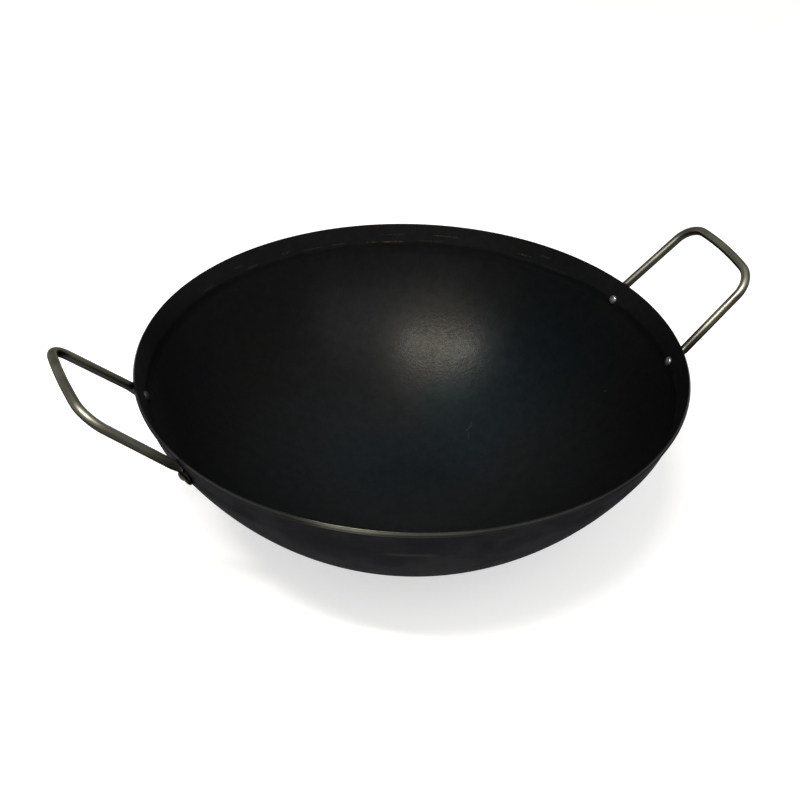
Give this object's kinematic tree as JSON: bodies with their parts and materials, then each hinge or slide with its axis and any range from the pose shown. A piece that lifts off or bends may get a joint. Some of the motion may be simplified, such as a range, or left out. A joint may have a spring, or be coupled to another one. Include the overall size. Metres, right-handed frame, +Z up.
{
  "type": "kadai",
  "caption": "Deep round-bottomed sheet-steel frying bowl with a flared rim band and riveted wire loop handles on opposite sides.",
  "frame": {"origin": "on the bowl's axis, at the underside of its flat base", "axes": "+Z up through the open mouth, +X towards one handle and -X towards the other, which both sit a few degrees towards -Y"},
  "size_m": [0.4542, 0.3598, 0.1715],
  "materials": {
    "bowl_steel": "blued, satin",
    "handle_steel": "satin",
    "rivet_steel": "bright"
  },
  "bodies": {
    "root": {"bowl": "bowl_steel", "handle_right": "handle_steel", "handle_left": "handle_steel", "rivet_right_rear": "rivet_steel", "rivet_right_front": "rivet_steel", "rivet_left_rear": "rivet_steel", "rivet_left_front": "rivet_steel"}
  },
  "joints": []
}
